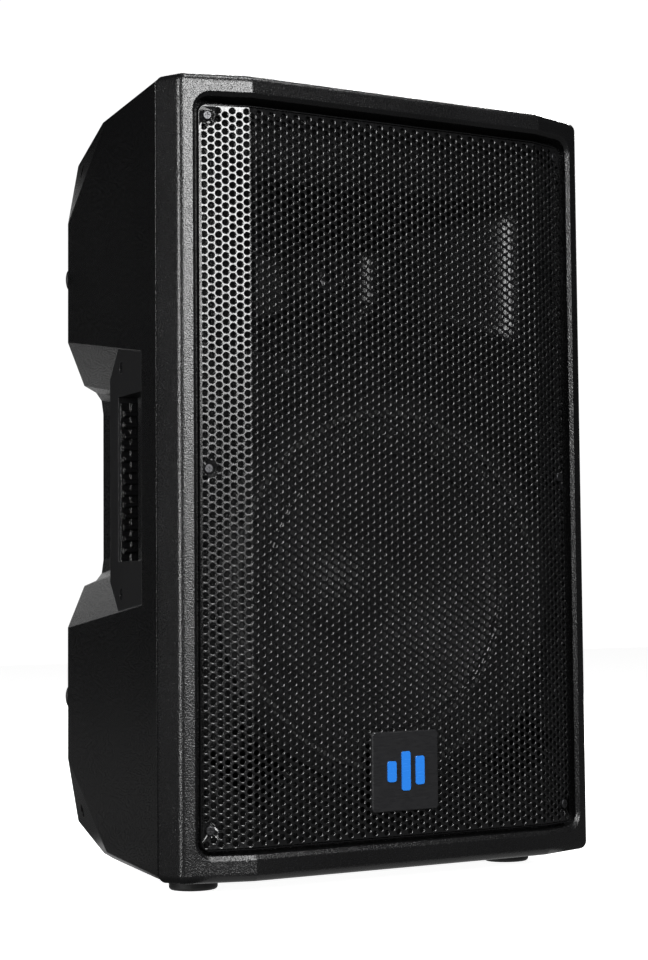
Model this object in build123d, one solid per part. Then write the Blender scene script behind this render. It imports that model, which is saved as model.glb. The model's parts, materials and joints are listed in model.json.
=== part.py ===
"""Twelve-inch two-way active loudspeaker cabinet with a three-facet front and waist handles.

Millimetres, +Z up, front facing -Y. The helper frame used while building has Y = 0 on the
centre facet of the front frame and Z = 0 on the lower edge of the front frame. Everything is
moved once, at export, so that the origin ends up under the middle of the cabinet, on the floor.
"""
from build123d import *
import math
import os

os.makedirs("parts", exist_ok=True)

# ---- driving dimensions ------------------------------------------------------------------
frame_height = 602.0
frame_low = -1.0
half_centre = 135.2          # half width of the flat middle facet
half_front = 187.6           # half width at the front corners
corner_y = 18.4              # how far the front corners sit behind the middle facet
half_seam = 196.1            # half width at the seam, the widest line
seam_y = 41.0
side_edge_y = 280.0          # rear upright edge of each side wall
half_side_edge = 153.9
depth = 340.0
monitor_slope = 1.2          # sideways run of the rear corner facets per millimetre of depth
wall = 4.5
foot_drop = 12.0             # how far the rubber feet reach below the front frame
foot_radius = 18.5
foot_height = 15.5
feet_at = [(147.0, 76.0), (84.0, 236.0)]
front_edge_round = 6.5       # rounding of the front frame's outer front edges
seam_edge_round = 1.2
frame_corner_round = 6.5     # rounding of the front frame's four corners
recess_chamfer = 3.2         # bevel round the mouth of the grille recess

opening_half = 175.2         # grille recess in the front frame
opening_low = 18.5
opening_high = 585.0
opening_corner = 11.0
board_y = 28.0               # front of the baffle board inside the recess
board_thick = 9.0

grille_setback = 6.5
grille_sheet = 1.2
grille_half = 171.5
grille_low = 21.5
grille_high = 580.0
grille_return = 7.0
grille_screw_x = 164.5
grille_screw_z = [37.0, 304.0, 571.0]
grille_screw_head = 3.7

woofer_z = 213.0
flange_radius = 154.0
woofer_hole = 140.0
surround_outer = 138.0
cone_radius = 113.0
coil_radius = 32.0
cone_depth_y = 88.0
cap_radius = 43.0

horn_z = 470.5
horn_mouth = (262.0, 117.0)
horn_flange = (316.0, 149.0)
horn_throat_y = 105.0

port_inner = 165.0           # radii of the curved port slots about the woofer axis
port_outer = 203.0
port_wall = 3.0
port_start = 37.0            # degrees below the horizontal
port_end = 56.0
port_length = 95.0

pocket_front_y = 77.0
pocket_back_y = 352.0
pocket_top = 397.0
pocket_bottom = 203.0
pocket_top_rise = 0.136      # the pocket opens out towards the rear
pocket_bottom_fall = 0.09
pocket_profile = [(-14.0, 23.0), (0.0, 0.0), (22.0, -37.0), (38.0, -43.0), (45.5, -50.0), (48.0, -62.0)]

grip_plate = 16.0
grip_inset = 0.6
slot_top = 366.0
slot_bottom = 237.0
grip_front_y = 138.0
grip_rear_y = 160.0
rib_count = 13
rib_pitch = 8.9
rib_low_z = 246.0
rib_height = 4.0
pad_base = 1.4

pole_y = 160.0
pole_radius = 17.9
pole_depth = 80.0
pole_flange_z = 6.0
pole_flange_thick = 3.0
pole_opening = 43.0          # square way through the shell for the socket tube
fly_bore = 3.4               # tapping radius of an M8 thread
fly_depth = 17.0
fly_shares = (0.264, 0.26, 0.476)   # place of the insert between the facet's three corners
fly_flats = 11.0             # width across the flats of the hexagonal insert

dish_half = 75.0             # recess in the back that holds the amplifier panel
dish_low = 140.0
dish_high = 472.0
dish_floor_y = 314.0
panel_thick = 3.0
panel_half = 73.0
panel_low = 143.0
panel_high = 469.0

badge_size = 61.0
badge_z = 73.0

side_slope = (half_seam - half_side_edge) / (side_edge_y - seam_y)
side_angle = math.degrees(math.atan(side_slope))
facet_angle = math.degrees(math.atan2(corner_y, half_front - half_centre))
panel_face_y = dish_floor_y + panel_thick


# ---- small builders ----------------------------------------------------------------------
def prism_plan(points, low, high):
    """Outline in plan (x, y) drawn up from one height to another."""
    face = make_face(Polyline(*[(x, y) for x, y in points], close=True))
    return Pos(0, 0, low) * extrude(face, high - low)


def cylinder_y(x, z, radius, near, far):
    """Cylinder along the depth of the cabinet."""
    return Pos(x, (near + far) / 2, z) * Rot(90, 0, 0) * Cylinder(radius, far - near)


def block(x_range, y_range, z_range):
    """Box given by its two limits along each axis."""
    size = [high - low for low, high in (x_range, y_range, z_range)]
    middle = [(low + high) / 2 for low, high in (x_range, y_range, z_range)]
    return Pos(*middle) * Box(*size)


def turned_y(points, x, z):
    """Solid of revolution about an axis along the depth, from (radius, y) points."""
    face = make_face(Polyline(*points, close=True))
    return Pos(x, 0, z) * revolve(face, Axis.Y)


def rounded_slab(half_width, low, high, radius, near, far, x=0.0):
    """Slab across the depth with rounded corners seen from the front."""
    outline = RectangleRounded(2 * half_width, high - low, radius)
    face = Plane(origin=(x, near, (low + high) / 2), z_dir=(0, 1, 0), x_dir=(1, 0, 0)) * outline
    return extrude(face, far - near, dir=(0, 1, 0))


def pan_screw(head_radius, head_height, shank_radius, length):
    """Cross-head screw pointing down its own -Z, head seat on its origin."""
    head = Cylinder(head_radius, head_height, align=(Align.CENTER, Align.CENTER, Align.MIN))
    head = fillet(head.edges().sort_by(Axis.Z)[-1], head_height * 0.45)
    shank = Cylinder(shank_radius, length, align=(Align.CENTER, Align.CENTER, Align.MAX))
    slot = Pos(0, 0, head_height) * Box(head_radius * 1.1, head_radius * 0.28, head_height)
    return head + shank - slot - Rot(0, 0, 90) * slot


def hexagon_bar(flats, length):
    """Hexagonal bar about its own Z, centred on the origin."""
    hexagon = RegularPolygon(flats / math.sqrt(3), 6)
    return Pos(0, 0, -length / 2) * extrude(hexagon, length)


def facing(x, y, z, yaw=0.0):
    """Placement whose +Z looks out of the front (-Y), turned by yaw about the upright axis."""
    return Pos(x, y, z) * Rot(0, 0, yaw) * Rot(90, 0, 0)


def facing_back(x, y, z):
    """Placement whose +Z looks out of the back (+Y), with +X to the left seen from behind."""
    return Pos(x, y, z) * Rot(-90, 0, 0)


def side_x(y):
    """Half width of the side wall at a depth."""
    return half_seam - side_slope * (y - seam_y)


# ---- cabinet shell -----------------------------------------------------------------------
bottom_profile = [(seam_y, 0.2), (168.0, 4.2), (300.0, 23.0)]
corner_cut_y = 168.0         # where the oblique rear corner facet meets the side wall's edge
corner_cut_z = 9.5
corner_cut_rise = 77.0       # height it reaches up the rear upright edge
corner_cut_run = 13.0        # depth it reaches along the rear corner facet
corner_cut_rear_z = 25.0


def plane_through(a, b, c):
    """Point and outward normal of the plane through three points, away from the middle."""
    first = Vector(*b) - Vector(*a)
    second = Vector(*c) - Vector(*a)
    normal = first.cross(second).normalized()
    towards_middle = Vector(0, 160, frame_height / 2) - Vector(*a)
    if normal.dot(towards_middle) > 0:
        normal = normal * -1
    return Vector(*a), normal


def corner_cut_points():
    """Corners of the oblique facet at a lower rear corner of the shell."""
    rear_x = half_side_edge - monitor_slope * corner_cut_run
    return [(half_side_edge, side_edge_y, corner_cut_rise),
            (side_x(corner_cut_y), corner_cut_y, corner_cut_z),
            (rear_x, side_edge_y + corner_cut_run, corner_cut_rear_z)]


def shell_planes():
    """All outer planes of the shell except the seam."""
    planes = [(Vector(0, depth, 300), Vector(0, 1, 0))]
    side = [(half_seam, seam_y, 0), (half_seam, seam_y, 100), (half_side_edge, side_edge_y, 0)]
    rear_x = half_side_edge - monitor_slope * (depth - side_edge_y)
    monitor = [(half_side_edge, side_edge_y, 0), (half_side_edge, side_edge_y, 100), (rear_x, depth, 0)]
    edge_bevel = [(side_x(corner_cut_y), corner_cut_y, corner_cut_z), (half_seam, seam_y, 4.6),
                  (half_seam - 5.2, seam_y, 0.2)]
    for sign in (-1, 1):
        for triple in (side, monitor):
            planes.append(plane_through(*[(sign * x, y, z) for x, y, z in triple]))
        for triple in (corner_cut_points(), edge_bevel):
            planes.append(plane_through(*[(sign * x, y, z) for x, y, z in triple]))
            planes.append(plane_through(*[(sign * x, y, frame_height - z) for x, y, z in triple]))
    for (y0, z0), (y1, z1) in zip(bottom_profile, bottom_profile[1:]):
        low = [(0, y0, z0), (100, y0, z0), (0, y1, z1)]
        planes.append(plane_through(*low))
        planes.append(plane_through(*[(x, y, frame_height - z) for x, y, z in low]))
    return planes


def shell_solid(inset):
    """Outer form of the shell, or the same form moved in by a wall."""
    body = block((-230, 230), (seam_y, depth + 20), (-30, frame_height + 30))
    for point, normal in shell_planes():
        body = split(body, bisect_by=Plane(point - normal * inset, z_dir=normal), keep=Keep.BOTTOM)
    return body


def pocket_section(sign, y, grow):
    """Handle pocket outline in the upright plane at a depth."""
    top = pocket_top + pocket_top_rise * (y - pocket_front_y)
    bottom = pocket_bottom - pocket_bottom_fall * (y - pocket_front_y)
    edge = side_x(y)
    upper = [(edge - inward - grow * (inward > 0), top + lift + grow) for inward, lift in pocket_profile]
    lower = [(edge - inward - grow * (inward > 0), bottom - lift - grow) for inward, lift in pocket_profile]
    points = [(sign * x, y, z) for x, z in upper + lower[::-1]]
    return make_face(Polyline(*points, close=True))


def pocket_solid(sign, grow=0.0):
    """Space scooped out of one side, open to the side and to the rear."""
    sections = [pocket_section(sign, pocket_front_y - grow, grow), pocket_section(sign, pocket_back_y, grow)]
    return loft(sections, ruled=True)


def foot_places():
    return [(sign * x, y) for x, y in feet_at for sign in (-1, 1)]


def fly_points():
    """Centre and outward direction of the threaded insert in each oblique rear corner."""
    places = []
    for sign in (-1, 1):
        for flip in (False, True):
            corners = []
            for x, y, z in corner_cut_points():
                corners.append((sign * x, y, frame_height - z if flip else z))
            origin, normal = plane_through(*corners)
            centre = sum((Vector(*spot) * share for spot, share in zip(corners, fly_shares)), Vector())
            places.append((centre, normal))
    return places


shell_screw_x = 165.0
shell_screw_z = [62.0, 128.0, 250.0, 345.0, 440.0, 552.0]


def rear_shell():
    outer = shell_solid(0.0)
    outer = fillet(outer.edges().filter_by(lambda e: e.center().Y > seam_y + 1), 2.2)
    cavity = shell_solid(wall)
    pockets = [pocket_solid(sign) for sign in (-1, 1)]
    for sign in (-1, 1):
        cavity = cavity - pocket_solid(sign, wall)
    dish = rounded_slab(dish_half, dish_low, dish_high, 8.0, dish_floor_y, depth + 30)
    dish_wall = rounded_slab(dish_half + wall, dish_low - wall, dish_high + wall, 12.0, dish_floor_y - wall,
                             depth + 30)
    cavity = cavity - dish_wall
    for x, y in foot_places():
        boss = Pos(x, y, foot_height - foot_drop) * Cylinder(foot_radius + 1.5, 30,
                                                             align=(Align.CENTER, Align.CENTER, Align.MIN))
        outer = outer + boss
        cavity = cavity - Pos(x, y, 15) * Cylinder(foot_radius - 4, 40)
    seat_z = pole_flange_z + pole_flange_thick
    outer = outer + block((-42, 42), (pole_y - 42, pole_y + 42), (seat_z, 20))
    cavity = cavity - block((-42, 42), (pole_y - 42, pole_y + 42), (0, seat_z + 7))
    pole_hole = Pos(0, pole_y, 0) * Box(pole_opening, pole_opening, 60)
    pole_recess = block((-39, 39), (pole_y - 39, pole_y + 39), (-20, seat_z))
    for centre, normal in fly_points():
        cavity = cavity - Plane(centre, z_dir=normal) * Cylinder(10.0, 40)
    shell = outer - cavity
    for pocket in pockets:
        shell = shell - pocket
    shell = shell - dish
    shell = shell - block((-64, 64), (dish_floor_y - 20, dish_floor_y + 5), (panel_low + 8, panel_high - 8))
    shell = shell - pole_hole - pole_recess
    for centre, normal in fly_points():
        shell = shell - Plane(centre, z_dir=normal) * hexagon_bar(fly_flats, 2 * fly_depth)
    for x, y in pole_screw_places():
        shell = shell - Pos(x, y, 0) * Cylinder(2.0, 60)
    for x, y in foot_places():
        shell = shell - Pos(x, y, 0) * Cylinder(2.3, 44)
        shell = shell - Pos(x, y, foot_height / 2 - foot_drop) * Cylinder(foot_radius + 0.4, foot_height)
    for x, z in panel_screw_places():
        shell = shell - cylinder_y(x, z, 1.7, dish_floor_y - 8, dish_floor_y + 1)
    for sign in (-1, 1):
        for z in handle_screw_z:
            shell = shell - handle_place(sign, z) * Cylinder(2.0, 40)
    for sign in (-1, 1):
        for z in shell_screw_z:
            boss = block((sign * 176 - 18, sign * 176 + 18), (seam_y + 6.5, seam_y + 30), (z - 6, z + 6))
            boss = boss & shell_solid(0.5)
            boss = boss - cylinder_y(sign * shell_screw_x, z, 2.0, seam_y, seam_y + 26)
            shell = shell + boss
    return shell


# ---- front frame and grille ----------------------------------------------------------------
def is_mouth_edge(edge):
    """Whether an edge runs round the front mouth of the grille recess."""
    spot = edge.center()
    inside_x = abs(spot.X) < opening_half + 0.1
    inside_z = opening_low - 0.1 < spot.Z < opening_high + 0.1
    on_rim = (abs(abs(spot.X) - opening_half) < opening_corner + 1
              or min(abs(spot.Z - opening_low), abs(spot.Z - opening_high)) < opening_corner)
    return inside_x and inside_z and on_rim and spot.Y < corner_y


def front_frame():
    outline = [(-half_seam, seam_y), (-half_front, corner_y), (-half_centre, 0), (half_centre, 0),
               (half_front, corner_y), (half_seam, seam_y)]
    body = prism_plan(outline, frame_low, frame_height)
    corners = [edge for edge in body.edges() if corner_y + 1 < edge.center().Y < seam_y - 1]
    body = fillet(corners, frame_corner_round)
    front = [edge for edge in body.edges() if edge.center().Y < corner_y + 3
             and not (abs(abs(edge.center().X) - half_centre) < 0.1)]
    body = fillet(front, front_edge_round)
    rear_rim = [edge for edge in body.edges() if edge.center().Y > seam_y - 0.1]
    body = fillet(rear_rim, seam_edge_round)
    recess = rounded_slab(opening_half, opening_low, opening_high, opening_corner, -10, board_y)
    body = body - recess
    mouth = [edge for edge in body.edges() if is_mouth_edge(edge)]
    body = chamfer(mouth, recess_chamfer)
    behind = rounded_slab(half_front - 4.0, wall + 8, frame_height - wall - 8, 8.0, board_y + board_thick,
                          seam_y + 10)
    body = body - behind
    tongue = shell_solid(wall + 0.3) & block((-230, 230), (seam_y - 1, seam_y + 6), (-10, 610))
    tongue_hole = rounded_slab(side_x(seam_y + 6) - wall - 3.5, wall + 8, frame_height - wall - 8, 8.0,
                               seam_y - 3, seam_y + 10)
    body = body + (tongue - tongue_hole)
    body = body - cylinder_y(0, woofer_z, woofer_hole, 0, 60)
    body = body - rounded_slab(horn_mouth[0] / 2 + 4, horn_z - horn_mouth[1] / 2 - 4,
                               horn_z + horn_mouth[1] / 2 + 4, 8.0, 0, 60)
    for sign in (-1, 1):
        body = body - port_sector(sign, port_inner - port_wall, port_outer + port_wall, 0, 60)
        for z in shell_screw_z:
            body = body + cylinder_y(sign * shell_screw_x, z, 6.0, board_y + 1, seam_y + 6.2)
            body = body - cylinder_y(sign * shell_screw_x, z, 2.1, board_y - 1, seam_y + 10)
        for z in grille_screw_z:
            place = facing(sign * grille_screw_x, grille_face_y(grille_screw_x), z, sign * facet_angle)
            boss = place * Pos(0, 0, -3.7) * Cylinder(6.0, 20, align=(Align.CENTER, Align.CENTER, Align.MAX))
            boss = boss & block((-200, 200), (0, board_y + 1), (z - 20, z + 20))
            body = body + boss - place * Cylinder(2.0, 40)
    for x, z in brace_screws() + horn_screw_places():
        body = body - cylinder_y(x, z, 2.1, board_y - 1, seam_y + 10)
    for x, z in woofer_screw_places():
        body = body - cylinder_y(x, z, 2.3, board_y - 1, seam_y + 10)
    return body


def grille_face_y(x):
    """Depth of the grille's front at a distance from the middle."""
    fold = half_centre - grille_setback * math.tan(math.radians(facet_angle / 2))
    slope = math.tan(math.radians(facet_angle))
    return grille_setback + max(0.0, abs(x) - fold) * slope


def grille_plan(half, near, far):
    """Folded sheet outline in plan, between two setbacks from its front."""
    fold = half_centre - grille_setback * math.tan(math.radians(facet_angle / 2))
    xs = [-half, -fold, fold, half]
    front = [(x, grille_face_y(x) + near) for x in xs]
    back = [(x, grille_face_y(x) + far) for x in xs]
    return front + back[::-1]


def grille_dimple(sign, z):
    """Pressed cup that sinks a screw head into the side facet."""
    profile = [(2.6, -3.2), (4.8, -3.2), (6.8, -1.2), (6.8, 0.0), (6.2, 0.0), (4.3, -2.0), (2.6, -2.0)]
    cup = revolve(make_face(Plane.XZ * Polyline(*profile, close=True)), Axis.Z)
    place = facing(sign * grille_screw_x, grille_face_y(grille_screw_x), z, sign * facet_angle)
    return place * cup, place * Cylinder(6.4, 8.0)


def front_grille():
    sheet = prism_plan(grille_plan(grille_half, 0, grille_sheet), grille_low, grille_high)
    rim = prism_plan(grille_plan(grille_half, 0.2, grille_return), grille_low, grille_high)
    hollow = prism_plan(grille_plan(grille_half - grille_sheet, -1, grille_return + 2),
                        grille_low + grille_sheet, grille_high - grille_sheet)
    sheet = sheet + (rim - hollow)
    for sign in (-1, 1):
        for z in grille_screw_z:
            cup, hole = grille_dimple(sign, z)
            sheet = sheet - hole + cup
    return sheet


def grille_screws():
    screws = []
    for sign in (-1, 1):
        for z in grille_screw_z:
            place = facing(sign * grille_screw_x, grille_face_y(grille_screw_x), z, sign * facet_angle)
            screws.append(place * Pos(0, 0, -2.0) * pan_screw(grille_screw_head, 2.2, 1.9, 12))
    return screws


def brace_screws():
    return [(sign * 88.0, z) for sign in (-1, 1) for z in (381.0, 41.0)]


def baffle_screws():
    screws = []
    for sign in (-1, 1):
        for z in shell_screw_z:
            screws.append(facing(sign * shell_screw_x, board_y, z) * pan_screw(4.4, 2.6, 1.9, 30))
    return screws


def brace_bar_screws():
    return [facing(x, board_y, z) * pan_screw(4.4, 2.6, 1.9, 18) for x, z in brace_screws()]


def brace_bars():
    """Two ribbed steel stiffeners screwed behind the baffle, above and below the woofer."""
    bars = []
    for z in (381.0, 41.0):
        angle = block((-98, 98), (board_y + board_thick, board_y + board_thick + 2), (z - 8, z + 8))
        lip = block((-98, 98), (board_y + board_thick, board_y + board_thick + 14), (z + 6, z + 8))
        bar = angle + lip
        for sign in (-1, 1):
            bar = bar - cylinder_y(sign * 88.0, z, 2.0, board_y, board_y + 30)
        bars.append(bar)
    return bars


def badge_plate():
    plate = extrude(RectangleRounded(badge_size, badge_size, 3.0), 2.4)
    plate = chamfer(plate.faces().sort_by(Axis.Z)[-1].edges(), 0.7)
    return facing(0, grille_setback, badge_z) * plate


def badge_emblem():
    bars = []
    for x, height in ((-13.0, 16.0), (0.0, 30.0), (13.0, 22.0)):
        bar = extrude(RectangleRounded(8.0, height, 2.0), 1.0)
        bars.append(facing(x, grille_setback - 2.4, badge_z) * bar)
    return bars


# ---- woofer ----------------------------------------------------------------------------------
def woofer_basket():
    front = board_y - 4.5
    profile = [(surround_outer - 2, board_y - 1), (surround_outer - 2, front), (flange_radius, front),
               (flange_radius, board_y), (woofer_hole - 1.5, board_y), (woofer_hole - 3, board_y + 16),
               (84, 112), (84, 118), (44, 118), (44, 114.5), (78, 114.5), (78, 110),
               (surround_outer - 8, board_y + 14)]
    basket = turned_y(profile, 0, woofer_z)
    for turn in range(8):
        window = block((96, 140), (48, 104), (-26, 26))
        basket = basket - Pos(0, 0, woofer_z) * Rot(0, 22.5 + 45 * turn, 0) * window
    for x, z in woofer_screw_places():
        basket = basket - cylinder_y(x, z, 2.6, 0, board_y + 4)
    return basket


def woofer_screw_places():
    ring = 146.5
    angles = [22.5 + 45 * turn for turn in range(8)]
    return [(ring * math.cos(math.radians(a)), woofer_z + ring * math.sin(math.radians(a))) for a in angles]


def woofer_screws():
    return [facing(x, board_y - 4.5, z) * pan_screw(4.4, 2.8, 2.2, 16) for x, z in woofer_screw_places()]


def woofer_gasket():
    front = board_y - 4.5
    inner = surround_outer - 2
    profile = [(inner, front), (inner, front - 2.5), (141, front - 2.5), (141, front)]
    return turned_y(profile, 0, woofer_z)


def woofer_surround():
    """Half-roll edge from the cone's rim to the basket."""
    seat = board_y - 4.5
    inner = cone_radius + 0.5
    outer = surround_outer - 2.3
    middle = (inner + outer) / 2
    roll = (outer - inner) / 2 - 3.0
    steps = [180 - 15 * step for step in range(13)]
    crest = [(middle + roll * math.cos(math.radians(a)), seat + 1.0 - roll * 0.75 * math.sin(math.radians(a)))
             for a in steps]
    under = [(r, y + 1.0) for r, y in crest]
    profile = [(inner, seat + 1.0)] + crest + [(outer, seat + 1.0), (outer, seat + 2.0)] + under[::-1]
    profile = profile + [(inner, seat + 2.0)]
    return turned_y(profile, 0, woofer_z)


def woofer_cone():
    rim_y = board_y - 3.0
    profile = [(cone_radius, rim_y), (cone_radius, rim_y + 1.2), (100, rim_y + 10), (70, rim_y + 34),
               (coil_radius + 1.2, cone_depth_y + 1.5), (coil_radius + 1.2, cone_depth_y - 0.5),
               (70, rim_y + 32.4), (100, rim_y + 8.6)]
    cone = turned_y(profile, 0, woofer_z)
    for radius, y in ((60.0, 66.6), (75.0, 53.8), (90.0, 42.0)):
        cone = cone + turned_y([(radius, y), (radius + 1.6, y - 1.2), (radius + 1.6, y + 0.4)], 0, woofer_z)
    return cone


def woofer_dust_cap():
    rise = 15.0
    sphere_radius = (cap_radius ** 2 + rise ** 2) / (2 * rise)
    base_y = 78.2
    centre_y = base_y - rise + sphere_radius
    steps = 10
    outer = []
    for step in range(steps + 1):
        r = cap_radius * step / steps
        outer.append((r, centre_y - math.sqrt(sphere_radius ** 2 - r ** 2)))
    inner = [(r, y + 1.0) for r, y in outer]
    return turned_y(outer + inner[::-1], 0, woofer_z)


def woofer_voice_coil():
    wound = coil_radius + 0.9
    outer = coil_radius + 1.6
    former = turned_y([(coil_radius, 88), (wound, 88), (wound, 133), (coil_radius, 133)], 0, woofer_z)
    winding = turned_y([(wound, 118), (outer, 118), (outer, 132), (wound, 132)], 0, woofer_z)
    return former + winding


def woofer_spider():
    """Corrugated disc that centres the coil."""
    inner = coil_radius + 1.3
    outer = 77.6
    steps = 36
    crest = []
    for step in range(steps + 1):
        r = inner + (outer - inner) * step / steps
        crest.append((r, 104.0 - 1.8 * math.sin(step * math.pi / 3)))
    under = [(r, y + 0.8) for r, y in crest]
    return turned_y(crest + under[::-1], 0, woofer_z)


def woofer_top_plate():
    return turned_y([(coil_radius + 2.6, 118), (72, 118), (72, 126), (coil_radius + 2.6, 126)], 0, woofer_z)


def woofer_magnet():
    return turned_y([(42, 126), (78, 126), (78, 146), (42, 146)], 0, woofer_z)


def woofer_back_plate():
    profile = [(7, 154), (7, 116), (coil_radius - 1.4, 116), (coil_radius - 1.4, 146), (72, 146), (72, 152),
               (70, 154)]
    return turned_y(profile, 0, woofer_z)


def woofer_terminals():
    strip = block((-12, 12), (96, 99), (woofer_z - 119, woofer_z - 97))
    tabs = [block((x - 2.4, x + 2.4), (99, 108), (woofer_z - 115, woofer_z - 114.2)) for x in (-7, 7)]
    return [strip] + tabs


# ---- horn and compression driver -----------------------------------------------------------------
horn_steps = [(25.0, 262.0, 117.0), (32.5, 226.0, 108.0), (48.0, 184.0, 92.0), (70.0, 130.0, 68.0),
              (95.0, 88.0, 48.0), (horn_throat_y, 42.0, 42.0)]


def horn_section(y, width, height):
    outline = RectangleRounded(width, height, min(width, height) * 0.12)
    return Plane(origin=(0, y, horn_z), z_dir=(0, 1, 0), x_dir=(1, 0, 0)) * outline


def horn_flare():
    skin = 3.0
    outside = loft([horn_section(y, w + 2 * skin, h + 2 * skin) for y, w, h in horn_steps])
    inside = loft([horn_section(y, w, h) for y, w, h in horn_steps])
    flange = rounded_slab(horn_flange[0] / 2, horn_z - horn_flange[1] / 2, horn_z + horn_flange[1] / 2, 9.0,
                          board_y - 3.0, board_y)
    collar = cylinder_y(0, horn_z, 36.0, horn_throat_y - 2, horn_throat_y + 7)
    throat = cylinder_y(0, horn_z, 12.7, horn_throat_y - 3, horn_throat_y + 10)
    flare = outside + flange + collar - inside - throat
    for x, z in horn_screw_places():
        flare = flare - cylinder_y(x, z, 2.4, 0, board_y + 4)
    return flare


def horn_screw_places():
    edge_x = horn_flange[0] / 2 - 5.0
    edge_z = horn_flange[1] / 2 - 5.0
    corners = [(sign * edge_x, level * edge_z) for sign in (-1, 1) for level in (-1, 1)]
    middles = [(0.0, level * edge_z) for level in (-1, 1)]
    return [(x, horn_z + z) for x, z in corners + middles]


def horn_screws():
    return [facing(x, board_y - 3.0, z) * pan_screw(3.9, 2.4, 1.9, 14) for x, z in horn_screw_places()]


def driver_magnet():
    near = horn_throat_y + 7
    return turned_y([(12.7, near), (46, near), (46, near + 24), (12.7, near + 24)], 0, horn_z)


def driver_diaphragm():
    near = horn_throat_y + 31
    return turned_y([(14, near), (34, near), (34, near + 1), (20, near + 1), (14, near + 5), (0, near + 7),
                     (0, near + 6)], 0, horn_z)


def driver_cover():
    near = horn_throat_y + 31
    profile = [(35, near), (46, near), (46, near + 14), (38, near + 22), (0, near + 22), (0, near + 19),
               (35, near + 19)]
    return turned_y(profile, 0, horn_z)


# ---- ports ---------------------------------------------------------------------------------------
def port_sector(sign, inner, outer, near, far, widen=1.0):
    """Curved slot about the woofer axis, in one lower corner."""
    extra = math.degrees(port_wall / port_inner) * widen
    start = math.radians(port_start - extra)
    end = math.radians(port_end + extra)
    middle = (start + end) / 2

    def spot(radius, angle):
        return (sign * radius * math.cos(angle), woofer_z - radius * math.sin(angle))

    arc_out = ThreePointArc(spot(outer, start), spot(outer, middle), spot(outer, end))
    arc_in = ThreePointArc(spot(inner, end), spot(inner, middle), spot(inner, start))
    low_side = Line(spot(outer, end), spot(inner, end))
    high_side = Line(spot(inner, start), spot(outer, start))
    lines = [arc_out, low_side, arc_in, high_side]
    flat = make_face(lines)
    face = Plane(origin=(0, near, 0), z_dir=(0, -1, 0), x_dir=(1, 0, 0)) * flat
    return extrude(face, far - near, dir=(0, 1, 0))


def port_duct(sign):
    outside = port_sector(sign, port_inner - port_wall, port_outer + port_wall, board_y - 1.0,
                          board_y + port_length)
    inside = port_sector(sign, port_inner, port_outer, board_y - 2, board_y + port_length + 2, 0.0)
    return outside - inside


# ---- handles -----------------------------------------------------------------------------------------
def along_side(sign, y, z, inward):
    """Point at a distance inside the side wall."""
    angle = math.radians(side_angle)
    return (sign * (side_x(y) - inward * math.cos(angle)), y - inward * math.sin(angle), z)


def side_slab(sign, outline, inset, thickness):
    """Plate parallel to the side wall from an outline in depth and height."""
    angle = math.radians(side_angle)
    inward = Vector(-sign * math.cos(angle), -math.sin(angle), 0)
    points = [along_side(sign, y, z, inset) for y, z in outline]
    return extrude(make_face(Polyline(*points, close=True)), thickness, dir=inward)


def handle(sign):
    near = pocket_front_y - 4
    outline = [(near, 410), (grip_front_y, 404), (grip_rear_y, 382), (grip_rear_y, 221),
               (grip_front_y + 1, 199), (near, 190)]
    plate = side_slab(sign, outline, grip_inset, grip_plate)
    slot = side_slab(sign, [(near - 20, slot_top), (grip_front_y, slot_top), (grip_front_y, slot_bottom),
                            (near - 20, slot_bottom)], -5, grip_plate + 30)
    uprights = plate - slot
    handle_solid = uprights & pocket_solid(sign)
    for z in handle_screw_z:
        handle_solid = handle_solid - handle_hole(sign, z)
    return handle_solid


handle_screw_z = [388.5, 211.5]
handle_screw_y = 130.0


def handle_place(sign, z):
    """Placement with +Z out of the side wall at a handle screw."""
    angle = math.radians(side_angle)
    outward = Vector(sign * math.cos(angle), math.sin(angle), 0)
    return Plane(along_side(sign, handle_screw_y, z, grip_inset), z_dir=outward)


def handle_hole(sign, z):
    place = handle_place(sign, z)
    return place * Pos(0, 0, -0.9) * Cylinder(4.6, 2.2) + place * Pos(0, 0, -8) * Cylinder(2.0, 30)


def handle_screws():
    screws = []
    for sign in (-1, 1):
        for z in handle_screw_z:
            screws.append(handle_place(sign, z) * Pos(0, 0, -2.0) * pan_screw(4.2, 1.8, 1.9, 12))
    return screws


def grip_pad(sign):
    """Rubber finger pad on the grip: a thin base, a raised inner band and cross ribs."""
    low = rib_low_z - rib_pitch
    high = rib_low_z + rib_pitch * rib_count
    face = grip_front_y - pad_base
    width = grip_plate - 3.0

    def upright_strip(proud, inset):
        outline = [(face - proud, high), (grip_front_y, high), (grip_front_y, low), (face - proud, low)]
        return side_slab(sign, outline, grip_inset + 1.5 + inset, width - inset)

    pad = upright_strip(0.0, 0.0) + upright_strip(2.0, 7.6)
    for index in range(rib_count):
        z = rib_low_z + rib_pitch * index
        crest = face - rib_height
        outline = [(face, z + 2.6), (crest, z + 1.3), (crest, z - 1.3), (face, z - 2.6)]
        pad = pad + side_slab(sign, outline, grip_inset + 3.6, width - 2.1)
    return pad


# ---- feet, pads, pole socket, fly points ------------------------------------------------------------
def foot(x, y):
    body = Pos(x, y, foot_height / 2 - foot_drop) * Cylinder(foot_radius, foot_height)
    body = fillet(body.edges().sort_by(Axis.Z)[0], 2.5)
    body = body - Pos(x, y, -foot_drop) * Cylinder(5.5, 12)
    return body - Pos(x, y, 0) * Cylinder(2.4, 60)


def feet_screws():
    screws = []
    for x, y in foot_places():
        screws.append(Pos(x, y, -foot_drop + 6) * Rot(180, 0, 0) * pan_screw(5.0, 3.0, 2.2, 20))
    return screws


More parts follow.
